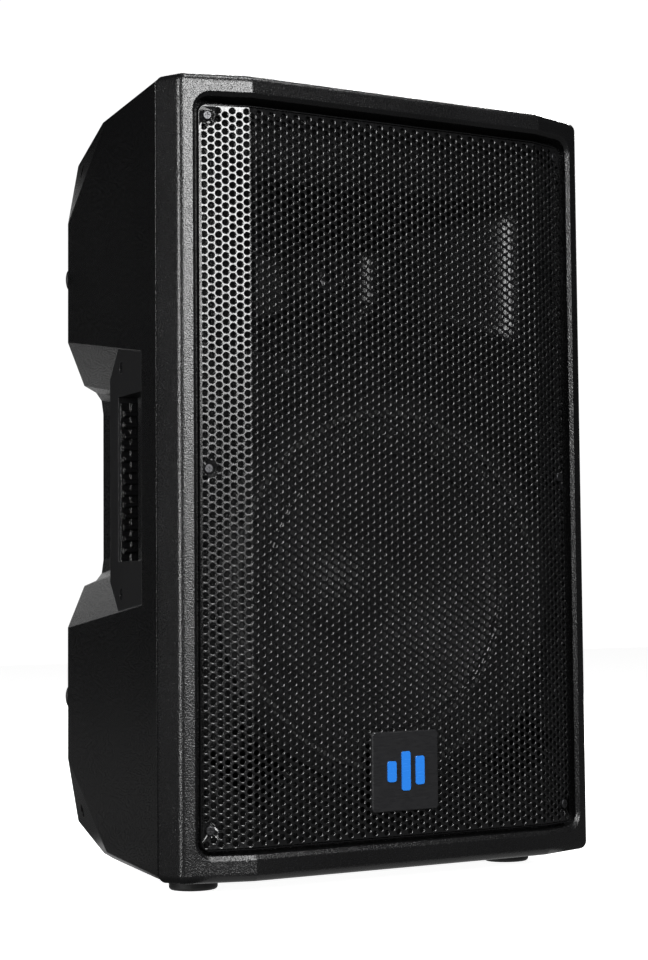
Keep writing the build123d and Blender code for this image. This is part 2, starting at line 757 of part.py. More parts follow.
def monitor_pads(sign):
    """Round rubber pads on the oblique rear corner, for lying the cabinet down."""
    run = math.hypot(monitor_slope, 1)
    along = Vector(-sign * monitor_slope / run, 1 / run, 0)
    outward = Vector(sign / run, monitor_slope / run, 0)
    pads = []
    for z in (127.5, 478.5):
        for offset in (12.0, 78.0):
            centre = Vector(sign * half_side_edge, side_edge_y, z) + along * offset
            pad = Cylinder(10.5, 3.0, align=(Align.CENTER, Align.CENTER, Align.MIN))
            pad = chamfer(pad.edges().sort_by(Axis.Z)[-1], 0.9)
            pads.append(Plane(centre, z_dir=outward) * pad)
    return pads


def pole_socket():
    floor = pole_flange_z
    outer = Pos(0, pole_y, floor) * Cylinder(pole_radius + 3.2, pole_depth + 4,
                                             align=(Align.CENTER, Align.CENTER, Align.MIN))
    flange = Pos(0, pole_y, floor) * extrude(RectangleRounded(76, 76, 10), pole_flange_thick)
    socket = outer + flange
    socket = socket - Pos(0, pole_y, floor - 1) * Cylinder(pole_radius, pole_depth + 1,
                                                           align=(Align.CENTER, Align.CENTER, Align.MIN))
    for x, y in pole_screw_places():
        socket = socket - Pos(x, y, floor) * Cylinder(2.4, 20)
    return socket


def pole_screw_places():
    return [(sx * 29.0, pole_y + sy * 29.0) for sx in (-1, 1) for sy in (-1, 1)]


def pole_screws():
    screw = Rot(180, 0, 0) * pan_screw(4.2, 2.4, 1.9, 14)
    return [Pos(x, y, pole_flange_z) * screw for x, y in pole_screw_places()]


def fly_inserts():
    sleeve_length = 13.0
    inserts = []
    for centre, normal in fly_points():
        sleeve = Pos(0, 0, sleeve_length / 2 - fly_depth) * hexagon_bar(fly_flats, sleeve_length)
        sleeve = sleeve - Pos(0, 0, 2 - fly_depth) * Cylinder(fly_bore, sleeve_length,
                                                              align=(Align.CENTER, Align.CENTER, Align.MIN))
        inserts.append(Plane(centre, z_dir=normal) * sleeve)
    return inserts


# ---- amplifier module on the back -------------------------------------------------------------------
knob_places = [(-48.0, 352.0), (-16.0, 352.0), (16.0, 352.0), (48.0, 352.0)]
knob_names = ["knob_input_one", "knob_input_two", "knob_bass", "knob_treble"]
button_places = [(-32.0, 322.0), (32.0, 322.0)]
button_names = ["button_line_mic", "button_low_cut"]
jack_places = [(-36.0, 284.0), (36.0, 284.0)]
jack_names = ["one", "two"]
lamp_places = [(-8.0, 322.0), (8.0, 322.0)]
inlet_place = (-28.0, 178.0)
rocker_place = (32.0, 178.0)
jack_radius = 11.8
rocker_size = (13.0, 21.0)
rocker_angle = 9.0           # tilt either side of level; it rests tilted off
rocker_pivot_y = 314.0


def amp_panel():
    panel = rounded_slab(panel_half, panel_low, panel_high, 6.0, dish_floor_y, panel_face_y)
    for x, z in knob_places:
        panel = panel - cylinder_y(x, z, 3.6, dish_floor_y - 1, panel_face_y + 1)
    for x, z in button_places:
        panel = panel - block((x - 4.3, x + 4.3), (dish_floor_y - 1, panel_face_y + 1), (z - 4.3, z + 4.3))
    for x, z in lamp_places:
        panel = panel - cylinder_y(x, z, 1.7, dish_floor_y - 1, panel_face_y + 1)
    for x, z in jack_places:
        panel = panel - cylinder_y(x, z, jack_radius + 0.1, dish_floor_y - 1, panel_face_y + 1)
        panel = panel - block((x - 3.4, x + 3.4), (dish_floor_y - 1, panel_face_y + 1), (z + 11.0, z + 17.5))
    for x, z, radius in connector_screw_places():
        panel = panel - cylinder_y(x, z, radius + 0.2, dish_floor_y - 1, panel_face_y + 1)
    x, z = inlet_place
    panel = panel - block((x - 14, x + 14), (dish_floor_y - 1, panel_face_y + 1), (z - 10, z + 10))
    x, z = rocker_place
    panel = panel - block((x - 8, x + 8), (dish_floor_y - 1, panel_face_y + 1), (z - 12.5, z + 12.5))
    for x, z in panel_screw_places():
        panel = panel - cylinder_y(x, z, 2.2, dish_floor_y - 1, panel_face_y + 1)
    return panel


def panel_screw_places():
    heights = [panel_low + 6 + step * (panel_high - panel_low - 12) / 3 for step in range(4)]
    return [(sign * (panel_half - 5), z) for sign in (-1, 1) for z in heights]


def panel_screws():
    return [facing_back(x, panel_face_y, z) * pan_screw(3.6, 2.2, 1.6, 9) for x, z in panel_screw_places()]


def amp_chassis():
    """Bent sheet box that seals the electronics from the cabinet's air."""
    outer = block((-62, 62), (246, dish_floor_y), (154, 458))
    return outer - block((-60.5, 60.5), (247.5, dish_floor_y + 1), (155.5, 456.5))


def heat_sink():
    """Black finned extrusion above the controls."""
    base = block((-58, 58), (panel_face_y, panel_face_y + 3), (378, 458))
    for index in range(15):
        x = -56 + 8 * index
        base = base + block((x - 0.9, x + 0.9), (panel_face_y + 2, panel_face_y + 18), (378, 458))
    return base


def main_board():
    return block((-60.5, 60.5), (286, 287.6), (160, 372))


def board_parts():
    """Reservoir capacitors, coils and power devices standing on the board."""
    items = []
    for x, z in ((-40, 186), (-18, 186), (-40, 212), (-18, 212)):
        items.append(cylinder_y(x, z, 9.0, 256, 286))
    for x, z in ((18, 196), (42, 196)):
        items.append(turned_y([(5, 274), (10.5, 274), (10.5, 286), (5, 286)], x, z))
    items.append(block((-44, 44), (262, 286), (306, 312)))
    items.append(block((-30, -6), (278, 286), (240, 262)))
    items.append(block((12, 40), (276, 286), (240, 268)))
    return items


def transformer():
    core = block((-26, 26), (247.5, 290), (396, 440))
    windows = block((-14, 14), (240, 300), (404, 432))
    bobbin = block((-13.5, 13.5), (249, 288.5), (404.5, 431.5)) - block((-6, 6), (240, 301), (411, 425))
    return [core - windows, bobbin]


def control_pot(x, z):
    """Potentiometer body with its bush, open for the knob's shaft."""
    body = block((x - 8, x + 8), (300, 309), (z - 8, z + 8)) + cylinder_y(x, z, 3.5, 308, panel_face_y)
    return body - cylinder_y(x, z, 1.85, 302, panel_face_y + 1)


def knob(x, z):
    skirt = turned_y([(0, panel_face_y + 0.6), (8.4, panel_face_y + 0.6), (8.0, panel_face_y + 3),
                      (6.6, panel_face_y + 4), (6.2, panel_face_y + 14), (5.4, panel_face_y + 15),
                      (0, panel_face_y + 15)], x, z)
    shaft = cylinder_y(x, z, 1.8, 303, panel_face_y + 1)
    body = skirt + shaft
    for turn in range(12):
        groove = cylinder_y(7.0, 0, 0.9, panel_face_y + 4.5, panel_face_y + 16)
        flute = Pos(x, 0, z) * Rot(0, 15 + 30 * turn, 0) * groove
        body = body - flute
    pointer = block((x - 0.5, x + 0.5), (panel_face_y + 13.8, panel_face_y + 16), (z + 1.5, z + 6.5))
    return body - pointer


def button(x, z):
    cap = block((x - 4.0, x + 4.0), (panel_face_y - 5, panel_face_y + 5.5), (z - 4.0, z + 4.0))
    cap = chamfer(cap.faces().sort_by(Axis.Y)[-1].edges(), 0.7)
    return cap + block((x - 1.6, x + 1.6), (301, panel_face_y - 4), (z - 1.6, z + 1.6))


def button_switches():
    bodies = []
    for x, z in button_places:
        body = block((x - 5.5, x + 5.5), (287.6, 306), (z - 5.5, z + 5.5))
        bodies.append(body - block((x - 1.8, x + 1.8), (296, 307), (z - 1.8, z + 1.8)))
    return bodies


def input_jack(x, z):
    """Three-pole latching connector with a round nose and a square flange."""
    nose = cylinder_y(x, z, jack_radius, 292, panel_face_y + 1)
    flange = rounded_slab(13.0, z - 14.5, z + 18.5, 2.5, panel_face_y, panel_face_y + 2.0, x)
    body = nose + flange - cylinder_y(x, z, 10.0, panel_face_y - 1.5, panel_face_y + 4)
    body = body + cylinder_y(x, z, 8.1, panel_face_y - 2.5, panel_face_y + 1.4)
    for turn in (90, 210, 330):
        dx = 4.8 * math.cos(math.radians(turn))
        dz = 4.8 * math.sin(math.radians(turn))
        body = body - cylinder_y(x + dx, z + dz, 1.5, panel_face_y - 14, panel_face_y + 3)
    body = body - block((x - 3.0, x + 3.0), (panel_face_y - 6, panel_face_y + 3), (z + 10.5, z + 17.0))
    for sx, level in ((-1, -12), (1, 16)):
        body = body - cylinder_y(x + sx * 10.4, z + level, 1.3, panel_face_y - 4, panel_face_y + 3)
    return body


def jack_latch(x, z):
    tab = block((x - 2.6, x + 2.6), (panel_face_y - 3.6, panel_face_y + 3.6), (z + 12.6, z + 16.6))
    return chamfer(tab.faces().sort_by(Axis.Y)[-1].edges(), 0.6)


def connector_screw_places():
    """Place and shank radius of each small screw in a connector's flange."""
    jacks = [(x + sx * 10.4, z + level, 1.0) for x, z in jack_places for sx, level in ((-1, -12), (1, 16))]
    x, z = inlet_place
    return jacks + [(x + sign * 20, z, 1.4) for sign in (-1, 1)]


def connector_screws():
    screws = []
    for x, z, radius in connector_screw_places():
        flange = 2.0 if radius < 1.2 else 2.5
        screw = pan_screw(2.2 * radius, 1.2 * radius, radius, 5 * radius)
        screws.append(facing_back(x, panel_face_y + flange, z) * screw)
    return screws


def status_lamps():
    return [cylinder_y(x, z, 1.5, 306, panel_face_y + 1.2) for x, z in lamp_places]


def mains_inlet():
    x, z = inlet_place
    body = block((x - 13.7, x + 13.7), (294, panel_face_y), (z - 9.7, z + 9.7))
    flange = rounded_slab(25.0, z - 12, z + 12, 3.0, panel_face_y, panel_face_y + 2.5, x)
    body = body + flange
    for sign in (-1, 1):
        body = body - cylinder_y(x + sign * 20, z, 1.6, panel_face_y - 1, panel_face_y + 4)
    return body - block((x - 12, x + 12), (298, panel_face_y + 4), (z - 8, z + 8))


def inlet_pins():
    x, z = inlet_place
    return [block((x + dx - 1, x + dx + 1), (298, panel_face_y - 3), (z + dz - 2, z + dz + 2))
            for dx, dz in ((-7, 2.0), (7, 2.0), (0, -2.0))]


def rocker_frame():
    x, z = rocker_place
    half_x, half_z = rocker_size[0] / 2, rocker_size[1] / 2
    body = block((x - 7.8, x + 7.8), (296, panel_face_y), (z - 12.3, z + 12.3))
    body = body + rounded_slab(9.5, z - 14, z + 14, 2.0, panel_face_y, panel_face_y + 1.8, x)
    return body - block((x - half_x - 0.35, x + half_x + 0.35), (303, panel_face_y + 3),
                        (z - half_z - 0.5, z + half_z + 0.5))


def power_rocker():
    """Rocker whose two halves meet at a shallow angle over its pivot."""
    x, z = rocker_place
    half_x, half_z = rocker_size[0] / 2, rocker_size[1] / 2
    face = panel_face_y
    end_z = half_z - 0.6
    outline = [(face - 4, -end_z), (face + 3.6, -end_z), (face + 1.4, 0), (face + 3.6, end_z),
               (face - 4, end_z), (face - 7, 0)]
    points = [(x - half_x, y, z + dz) for y, dz in outline]
    body = extrude(make_face(Polyline(*points, close=True)), 2 * half_x, dir=(1, 0, 0))
    pivot = Pos(x, rocker_pivot_y, z)
    return pivot * Rot(rocker_angle, 0, 0) * pivot.inverse() * body


# ---- inside the cabinet ----------------------------------------------------------------------------
def wire_run(points, radius, bends):
    """Round lead along straight runs joined by tangent arcs."""
    path = FilletPolyline(*points, radius=bends)
    start = Plane(origin=path @ 0, z_dir=path % 0)
    return sweep(start * Circle(radius), path=path)


def woofer_leads():
    leads = []
    for x in (-7, 7):
        points = [(x, 246, 170), (x, 222, 170), (x * 1.6, 200, 124), (x, 160, 98.4), (x, 108, 98.4)]
        leads.append(wire_run(points, 1.4, 14.0))
    return leads


def driver_leads():
    leads = []
    for x in (-6, 6):
        tag_z = horn_z - 4
        points = [(x, 246, 430), (x, 226, 430), (x * 1.8, 200, 452), (x, 176, tag_z), (x, 158.0, tag_z)]
        leads.append(wire_run(points, 1.2, 8.0))
    return leads


def damping_lining():
    """Soft lining glued behind the horn and beside the amplifier."""
    top = block((-115, 115), (70, 236), (frame_height - 48, frame_height - 24))
    low = [block((sign * 88 - 34, sign * 88 + 34), (150, 205), (38, 60)) for sign in (-1, 1)]
    return [top] + low


# ---- export -----------------------------------------------------------------------------------------
def save(name, shape):
    solids = shape if isinstance(shape, list) else [shape]
    flat = []
    for solid in solids:
        flat.extend(solid.solids())
    moved = [Pos(0, -depth / 2, foot_drop) * solid for solid in flat]
    export_step(moved[0] if len(moved) == 1 else Compound(children=moved), f"parts/{name}.step")


def control_bodies():
    """Potentiometers and switches behind the panel."""
    return [control_pot(x, z) for x, z in knob_places] + button_switches()


nodes = {
    "rear_shell": rear_shell, "front_frame": front_frame, "front_grille": front_grille,
    "grille_screws": grille_screws, "badge_plate": badge_plate, "badge_emblem": badge_emblem,
    "baffle_screws": lambda: baffle_screws() + brace_bar_screws(), "brace_bars": brace_bars,
    "woofer_basket": woofer_basket, "woofer_gasket": woofer_gasket, "woofer_surround": woofer_surround,
    "woofer_cone": woofer_cone, "woofer_dust_cap": woofer_dust_cap, "woofer_voice_coil": woofer_voice_coil,
    "woofer_spider": woofer_spider, "woofer_top_plate": woofer_top_plate, "woofer_magnet": woofer_magnet,
    "woofer_back_plate": woofer_back_plate, "woofer_terminals": woofer_terminals,
    "woofer_screws": woofer_screws, "horn_flare": horn_flare, "horn_screws": horn_screws,
    "driver_magnet": driver_magnet, "driver_diaphragm": driver_diaphragm, "driver_cover": driver_cover,
    "port_ducts": lambda: [port_duct(-1), port_duct(1)],
    "handle_left": lambda: handle(-1), "handle_right": lambda: handle(1),
    "grip_pads": lambda: [grip_pad(-1), grip_pad(1)], "handle_screws": handle_screws,
    "rubber_feet": lambda: [foot(x, y) for x, y in foot_places()],
    "base_screws": lambda: feet_screws() + pole_screws(), "pole_socket": pole_socket,
    "monitor_pads": lambda: monitor_pads(-1) + monitor_pads(1), "fly_inserts": fly_inserts,
    "amp_panel": amp_panel, "panel_screws": panel_screws, "connector_screws": connector_screws,
    "amp_chassis": amp_chassis, "heat_sink": heat_sink, "main_board": main_board,
    "power_parts": lambda: board_parts() + transformer(), "control_bodies": control_bodies,
    "status_lamps": status_lamps, "mains_inlet": mains_inlet, "inlet_pins": inlet_pins,
    "rocker_frame": rocker_frame, "power_rocker": power_rocker,
    "internal_leads": lambda: woofer_leads() + driver_leads(), "damping_lining": damping_lining,
}
for name, (x, z) in zip(knob_names, knob_places):
    nodes[name] = lambda x=x, z=z: knob(x, z)
for name, (x, z) in zip(button_names, button_places):
    nodes[name] = lambda x=x, z=z: button(x, z)
for name, (x, z) in zip(jack_names, jack_places):
    nodes[f"input_jack_{name}"] = lambda x=x, z=z: input_jack(x, z)
    nodes[f"jack_latch_{name}"] = lambda x=x, z=z: jack_latch(x, z)
for name, build in nodes.items():
    save(name, build())
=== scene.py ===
"""Looks of the loudspeaker cabinet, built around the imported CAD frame. Metres, CAD frame."""
import json
import math

import bmesh
import bpy
import numpy as np
from mathutils import Matrix, Vector
from mathutils.geometry import tessellate_polygon


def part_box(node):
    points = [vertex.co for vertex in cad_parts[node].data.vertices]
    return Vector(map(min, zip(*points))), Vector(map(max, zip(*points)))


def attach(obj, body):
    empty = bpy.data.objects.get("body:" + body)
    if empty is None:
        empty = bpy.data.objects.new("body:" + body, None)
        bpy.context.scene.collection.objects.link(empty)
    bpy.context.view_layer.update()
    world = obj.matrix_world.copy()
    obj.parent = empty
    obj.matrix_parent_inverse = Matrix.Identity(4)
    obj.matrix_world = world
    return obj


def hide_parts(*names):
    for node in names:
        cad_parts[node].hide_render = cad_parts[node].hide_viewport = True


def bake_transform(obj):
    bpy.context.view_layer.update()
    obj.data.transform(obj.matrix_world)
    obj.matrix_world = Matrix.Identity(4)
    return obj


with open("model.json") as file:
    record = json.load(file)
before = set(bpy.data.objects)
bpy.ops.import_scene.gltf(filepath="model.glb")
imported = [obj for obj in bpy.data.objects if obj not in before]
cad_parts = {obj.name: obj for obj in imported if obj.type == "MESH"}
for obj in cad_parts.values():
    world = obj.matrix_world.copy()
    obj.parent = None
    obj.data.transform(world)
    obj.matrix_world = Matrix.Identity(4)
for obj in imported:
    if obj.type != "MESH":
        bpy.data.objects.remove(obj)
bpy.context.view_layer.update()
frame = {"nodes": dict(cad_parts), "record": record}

MM = 0.001
FACET_ANGLE = math.radians(19.35)     # turn of the side facets of the front
FOLD_X = 134.1 * MM                   # where the grille folds
HOLE_PITCH = 6.3 * MM
HOLE_RADIUS = 2.08 * MM
HOLE_SIDES = 12
HOLE_MARGIN = 0.5 * MM                # plain sheet kept beside the outermost holes
CELL_SIDES = 6
CELL_REACH = 3.7 * MM                 # from a hole's centre to beyond its cell's corners
SHEET = 1.2 * MM
GRILLE_EDGE = 173.7 * MM              # half width of the grille, unfolded
GRILLE_CORNER = 7.0 * MM
GRILLE_BEND = 1.3 * MM                # bend radius into the returned edge
GRILLE_RETURN = 6.8 * MM
GRILLE_PARTS = 4                      # meshes that the perforated field is split into
BEND_STEPS = 5
CORNER_STEPS = 8
DIMPLE_RADIUS = 7.5 * MM              # the sheet is pressed in round each screw
DIMPLE_FLOOR = 4.2 * MM
DIMPLE_DEPTH = 2.0 * MM
SCREW_HEAD = 3.7 * MM
SCREW_BORE = 1.9 * MM
BORE_SIDES = 20
# how far each ring of a hole's rolled rim lies outside the hole, and how deep
RIM_RINGS = [(0.78 * MM, 0.0), (0.64 * MM, 0.035 * MM), (0.24 * MM, 0.18 * MM), (0.06 * MM, 0.38 * MM),
             (0.0, 0.64 * MM), (0.0, SHEET)]


# ---- meshes ----------------------------------------------------------------------------------
class Builder:
    """Points and faces gathered for one mesh."""

    def __init__(self):
        self.points = []
        self.faces = []
        self.smooth = []

    def ring(self, points):
        """Adds points and gives their numbers."""
        start = len(self.points)
        self.points.extend(points)
        return list(range(start, start + len(points)))

    def face(self, corners, smooth=False):
        """Adds one polygon by its points' numbers."""
        self.faces.append(tuple(corners))
        self.smooth.append(smooth)

    def band(self, first, second, smooth=False):
        """Quads between two closed rings of the same count."""
        count = len(first)
        for i in range(count):
            j = (i + 1) % count
            self.face((first[i], first[j], second[j], second[i]), smooth)

    def make(self, name):
        """Object in the scene that holds the gathered mesh."""
        mesh = bpy.data.meshes.new(name)
        mesh.from_pydata([tuple(p) for p in self.points], [], self.faces)
        mesh.update()
        mesh.polygons.foreach_set("use_smooth", np.asarray(self.smooth, dtype=bool))
        thing = bpy.data.objects.new(name, mesh)
        bpy.context.scene.collection.objects.link(thing)
        return thing


def weld(thing, distance=1e-6):
    """Joins points that coincide and turns the faces outward."""
    mesh = bmesh.new()
    mesh.from_mesh(thing.data)
    bmesh.ops.remove_doubles(mesh, verts=mesh.verts, dist=distance)
    bmesh.ops.recalc_face_normals(mesh, faces=mesh.faces)
    mesh.to_mesh(thing.data)
    mesh.free()


# ---- perforated grille -----------------------------------------------------------------------
grille_low, grille_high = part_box("front_grille")
GRILLE_FRONT = grille_low.y
GRILLE_BOTTOM = grille_low.z
GRILLE_TOP = grille_high.z
GRILLE_MIDDLE = (GRILLE_BOTTOM + GRILLE_TOP) / 2


def dimple_places():
    """Unfolded places of the six sunk screws, read from the screws' own box."""
    low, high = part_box("grille_screws")
    size = (high.x - low.x) / 2
    reach = SCREW_HEAD * math.cos(FACET_ANGLE)
    u = FOLD_X + (size - reach - FOLD_X) / math.cos(FACET_ANGLE)
    lowest, highest = low.z + SCREW_HEAD, high.z - SCREW_HEAD
    return [(sign * u, z) for sign in (-1, 1) for z in (lowest, (lowest + highest) / 2, highest)]


SCREWS = dimple_places()


def pressed(u, z):
    """How far the sheet is pressed in at a place, by the dimple of a nearby screw."""
    if abs(u) < FOLD_X:
        return 0.0
    apart = min(math.hypot(u - a, z - b) for a, b in SCREWS)
    share = min(1.0, max(0.0, (DIMPLE_RADIUS - apart) / (DIMPLE_RADIUS - DIMPLE_FLOOR)))
    return DIMPLE_DEPTH * share * share * (3 - 2 * share)


def on_grille(u, z, depth):
    """Point of the folded sheet, from its place along the unfolded width."""
    past = max(0.0, abs(u) - FOLD_X)
    x = math.copysign(min(abs(u), FOLD_X) + past * math.cos(FACET_ANGLE), u)
    return (x, GRILLE_FRONT + past * math.sin(FACET_ANGLE) + depth + pressed(u, z), z)


def hexagon(u, z):
    """Corners of one hole's cell."""
    radius = HOLE_PITCH / math.sqrt(3)
    turns = [2 * math.pi / CELL_SIDES * i for i in range(CELL_SIDES)]
    return [(u + radius * math.cos(a), z + radius * math.sin(a)) for a in turns]


def lattice():
    """Centres of the holes in staggered upright columns, clear of the edge and the screws."""
    spacing = HOLE_PITCH * math.sqrt(3) / 2
    side_reach = GRILLE_EDGE - GRILLE_BEND - HOLE_RADIUS - HOLE_MARGIN
    end_reach = (GRILLE_TOP - GRILLE_BOTTOM) / 2 - GRILLE_BEND - HOLE_RADIUS - HOLE_MARGIN
    columns = int(side_reach / spacing)
    rows = int(end_reach / HOLE_PITCH) + 1
    cells = []
    for column in range(-columns, columns + 1):
        for row in range(-rows, rows + 1):
            u = column * spacing
            rise = (row + 0.5 * (column % 2)) * HOLE_PITCH
            if abs(rise) > end_reach:
                continue
            z = GRILLE_MIDDLE + rise
            corner = math.hypot(max(0.0, abs(u) - (GRILLE_EDGE - GRILLE_CORNER)),
                                max(0.0, abs(rise) - (end_reach + HOLE_RADIUS - GRILLE_CORNER)))
            near_screw = any(math.hypot(u - a, z - b) < SCREW_BORE + CELL_REACH for a, b in SCREWS)
            if corner < GRILLE_CORNER - HOLE_RADIUS and not near_screw:
                cells.append((column, u, z))
    return cells


def grille_panel(name, cells):
    """Part of the perforated field: every hole has a rolled rim, a wall and a back."""
    build = Builder()
    corners = {}
    edges = {}

    def corner(u, z, depth):
        key = (round(u * 1e6), round(z * 1e6), depth)
        if key not in corners:
            corners[key] = build.ring([on_grille(u, z, depth)])[0]
        return corners[key]

    turns = [2 * math.pi * i / HOLE_SIDES for i in range(HOLE_SIDES)]
    for _, u, z in cells:
        outline = hexagon(u, z)
        front = [corner(a, b, 0.0) for a, b in outline]
        back = [corner(a, b, SHEET) for a, b in outline]
        rings = []
        for beyond, depth in RIM_RINGS:
            r = HOLE_RADIUS + beyond
            rings.append(build.ring([on_grille(u + r * math.cos(t), z + r * math.sin(t), depth)
                                     for t in turns]))
        per_side = HOLE_SIDES // CELL_SIDES
        for plate, ring, flip in ((front, rings[0], False), (back, rings[-1], True)):
            for side in range(CELL_SIDES):
                arc = [ring[(side * per_side + k) % HOLE_SIDES] for k in range(per_side + 1)]
                face = [plate[side], plate[(side + 1) % CELL_SIDES]] + arc[::-1]
                build.face(face[::-1] if flip else face)
        for first, second in zip(rings, rings[1:]):
            build.band(first, second, True)
        for side in range(CELL_SIDES):
            a, b = front[side], front[(side + 1) % CELL_SIDES]
            key = (min(a, b), max(a, b))
            if key in edges:
                edges[key] = None
            else:
                edges[key] = (a, b, back[side], back[(side + 1) % CELL_SIDES])
    for edge in edges.values():
        if edge:
            a, b, back_a, back_b = edge
            build.face((b, a, back_a, back_b))
    return build.make(name)


def lattice_outline(cells):
    """Zigzag loops round the perforated field, as lists of unfolded points."""
    counted = {}
    for _, u, z in cells:
        outline = [(round(a * 1e6), round(b * 1e6)) for a, b in hexagon(u, z)]
        for i in range(CELL_SIDES):
            a, b = outline[i], outline[(i + 1) % CELL_SIDES]
            if (b, a) in counted:
                del counted[(b, a)]
            else:
                counted[(a, b)] = True
    following = {a: b for a, b in counted}
    loops = []
    while following:
        start = next(iter(following))
        loop = []
        here = start
        while here in following:
            loop.append((here[0] * 1e-6, here[1] * 1e-6))
            here = following.pop(here)
        loops.append(loop)
    return loops


def rounded_outline(half_width, half_height, radius):
    """Closed outline in (u, z) about the middle of the sheet, with points on its folds."""
    points = []
    corners = [(1, 1, 0), (-1, 1, 90), (-1, -1, 180), (1, -1, 270)]
    for sx, sz, first in corners:
        for step in range(CORNER_STEPS + 1):
            a = math.radians(first + step * 90 / CORNER_STEPS)
            points.append((sx * (half_width - radius) + radius * math.cos(a),
                           sz * (half_height - radius) + radius * math.sin(a)))
        if first in (0, 180):
            for fold in (FOLD_X, -FOLD_X) if first == 0 else (-FOLD_X, FOLD_X):
                points.append((fold, sz * half_height))
    return [(u, GRILLE_MIDDLE + v) for u, v in points]


def grille_border(cells):
    """Plain margin of the sheet, its returned edge, and the bores of the six screws."""
    build = Builder()
    half_height = (GRILLE_TOP - GRILLE_BOTTOM) / 2
    flat = rounded_outline(GRILLE_EDGE - GRILLE_BEND, half_height - GRILLE_BEND, GRILLE_CORNER - GRILLE_BEND)
    zigzags = lattice_outline(cells)
    turns = [2 * math.pi * i / BORE_SIDES for i in range(BORE_SIDES)]
    bores = [[(u + SCREW_BORE * math.cos(t), z + SCREW_BORE * math.sin(t)) for t in turns]
             for u, z in SCREWS]
    loops = [flat] + zigzags + bores
    vectors = [[Vector((u, z, 0)) for u, z in loop] for loop in loops]
    triangles = tessellate_polygon(vectors)
    joined = [point for loop in loops for point in loop]
    for depth, front in ((0.0, True), (SHEET, False)):
        numbers = build.ring([on_grille(u, z, depth) for u, z in joined])
        for tri in triangles:
            a, b, c = (Vector((*joined[i], 0)) for i in tri)
            turned = (b - a).cross(c - a).z > 0
            face = [numbers[i] for i in tri]
            build.face(face if turned == front else face[::-1])
    # returned edge: rolls over and runs back
    outer = [build.ring([on_grille(u, z, 0.0) for u, z in flat])]
    for step in range(1, BEND_STEPS + 1):
        a = math.pi / 2 * step / BEND_STEPS
        grow = GRILLE_BEND * math.sin(a)
        ring = rounded_outline(GRILLE_EDGE - GRILLE_BEND + grow, half_height - GRILLE_BEND + grow,
                               GRILLE_CORNER - GRILLE_BEND + grow)
        outer.append(build.ring([on_grille(u, z, GRILLE_BEND * (1 - math.cos(a))) for u, z in ring]))
    rim = rounded_outline(GRILLE_EDGE, half_height, GRILLE_CORNER)
    outer.append(build.ring([on_grille(u, z, GRILLE_RETURN) for u, z in rim]))
    inside = rounded_outline(GRILLE_EDGE - SHEET, half_height - SHEET, GRILLE_CORNER - SHEET)
    outer.append(build.ring([on_grille(u, z, GRILLE_RETURN) for u, z in inside]))
    outer.append(build.ring([on_grille(u, z, SHEET + 0.4 * MM) for u, z in inside]))
    outer.append(build.ring([on_grille(u, z, SHEET) for u, z in flat]))
    for first, second in zip(outer, outer[1:]):
        build.band(second, first, True)
    # inner walls that meet the perforated field, and the walls of the bores
    for loop in zigzags + bores:
        front = build.ring([on_grille(u, z, 0.0) for u, z in loop])
        back = build.ring([on_grille(u, z, SHEET) for u, z in loop])
        build.band(front, back)
    thing = build.make("grille_border")
    weld(thing)
    return thing


def perforated_grille():
    """The whole folded grille, as a border and several perforated panels."""
    cells = lattice()
    columns = max(cell[0] for cell in cells)
    width = (2 * columns + 1) / GRILLE_PARTS
    pieces = [grille_border(cells)]
    for part in range(GRILLE_PARTS):
        chosen = [c for c in cells if part * width <= c[0] + columns < (part + 1) * width]
        pieces.append(grille_panel(f"grille_panel_{part + 1}", chosen))
    for piece in pieces:
        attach(piece, "cabinet")
    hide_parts("front_grille")
    return pieces


# ---- woofer surround -----------------------------------------------------------------------------
EDGE_SECTORS = 16                     # the edge is cut like a cake into sectors
EDGE_STEPS = 8
EDGE_ROWS = 16
EDGE_CLOTH = 0.7 * MM
EDGE_LAP = 0.6 * MM                   # how far the edge reaches over the cone
EDGE_SEAT = 1.2 * MM
FLAT_LIP = 0.14                       # flat share of the width at each side of the roll
BEAD_INSET = 4.4 * MM
BEAD_DEPTH = 3.4 * MM
BEAD_RADIUS = 2.6 * MM
BEAD_STEPS = 160
BEAD_SIDES = 10


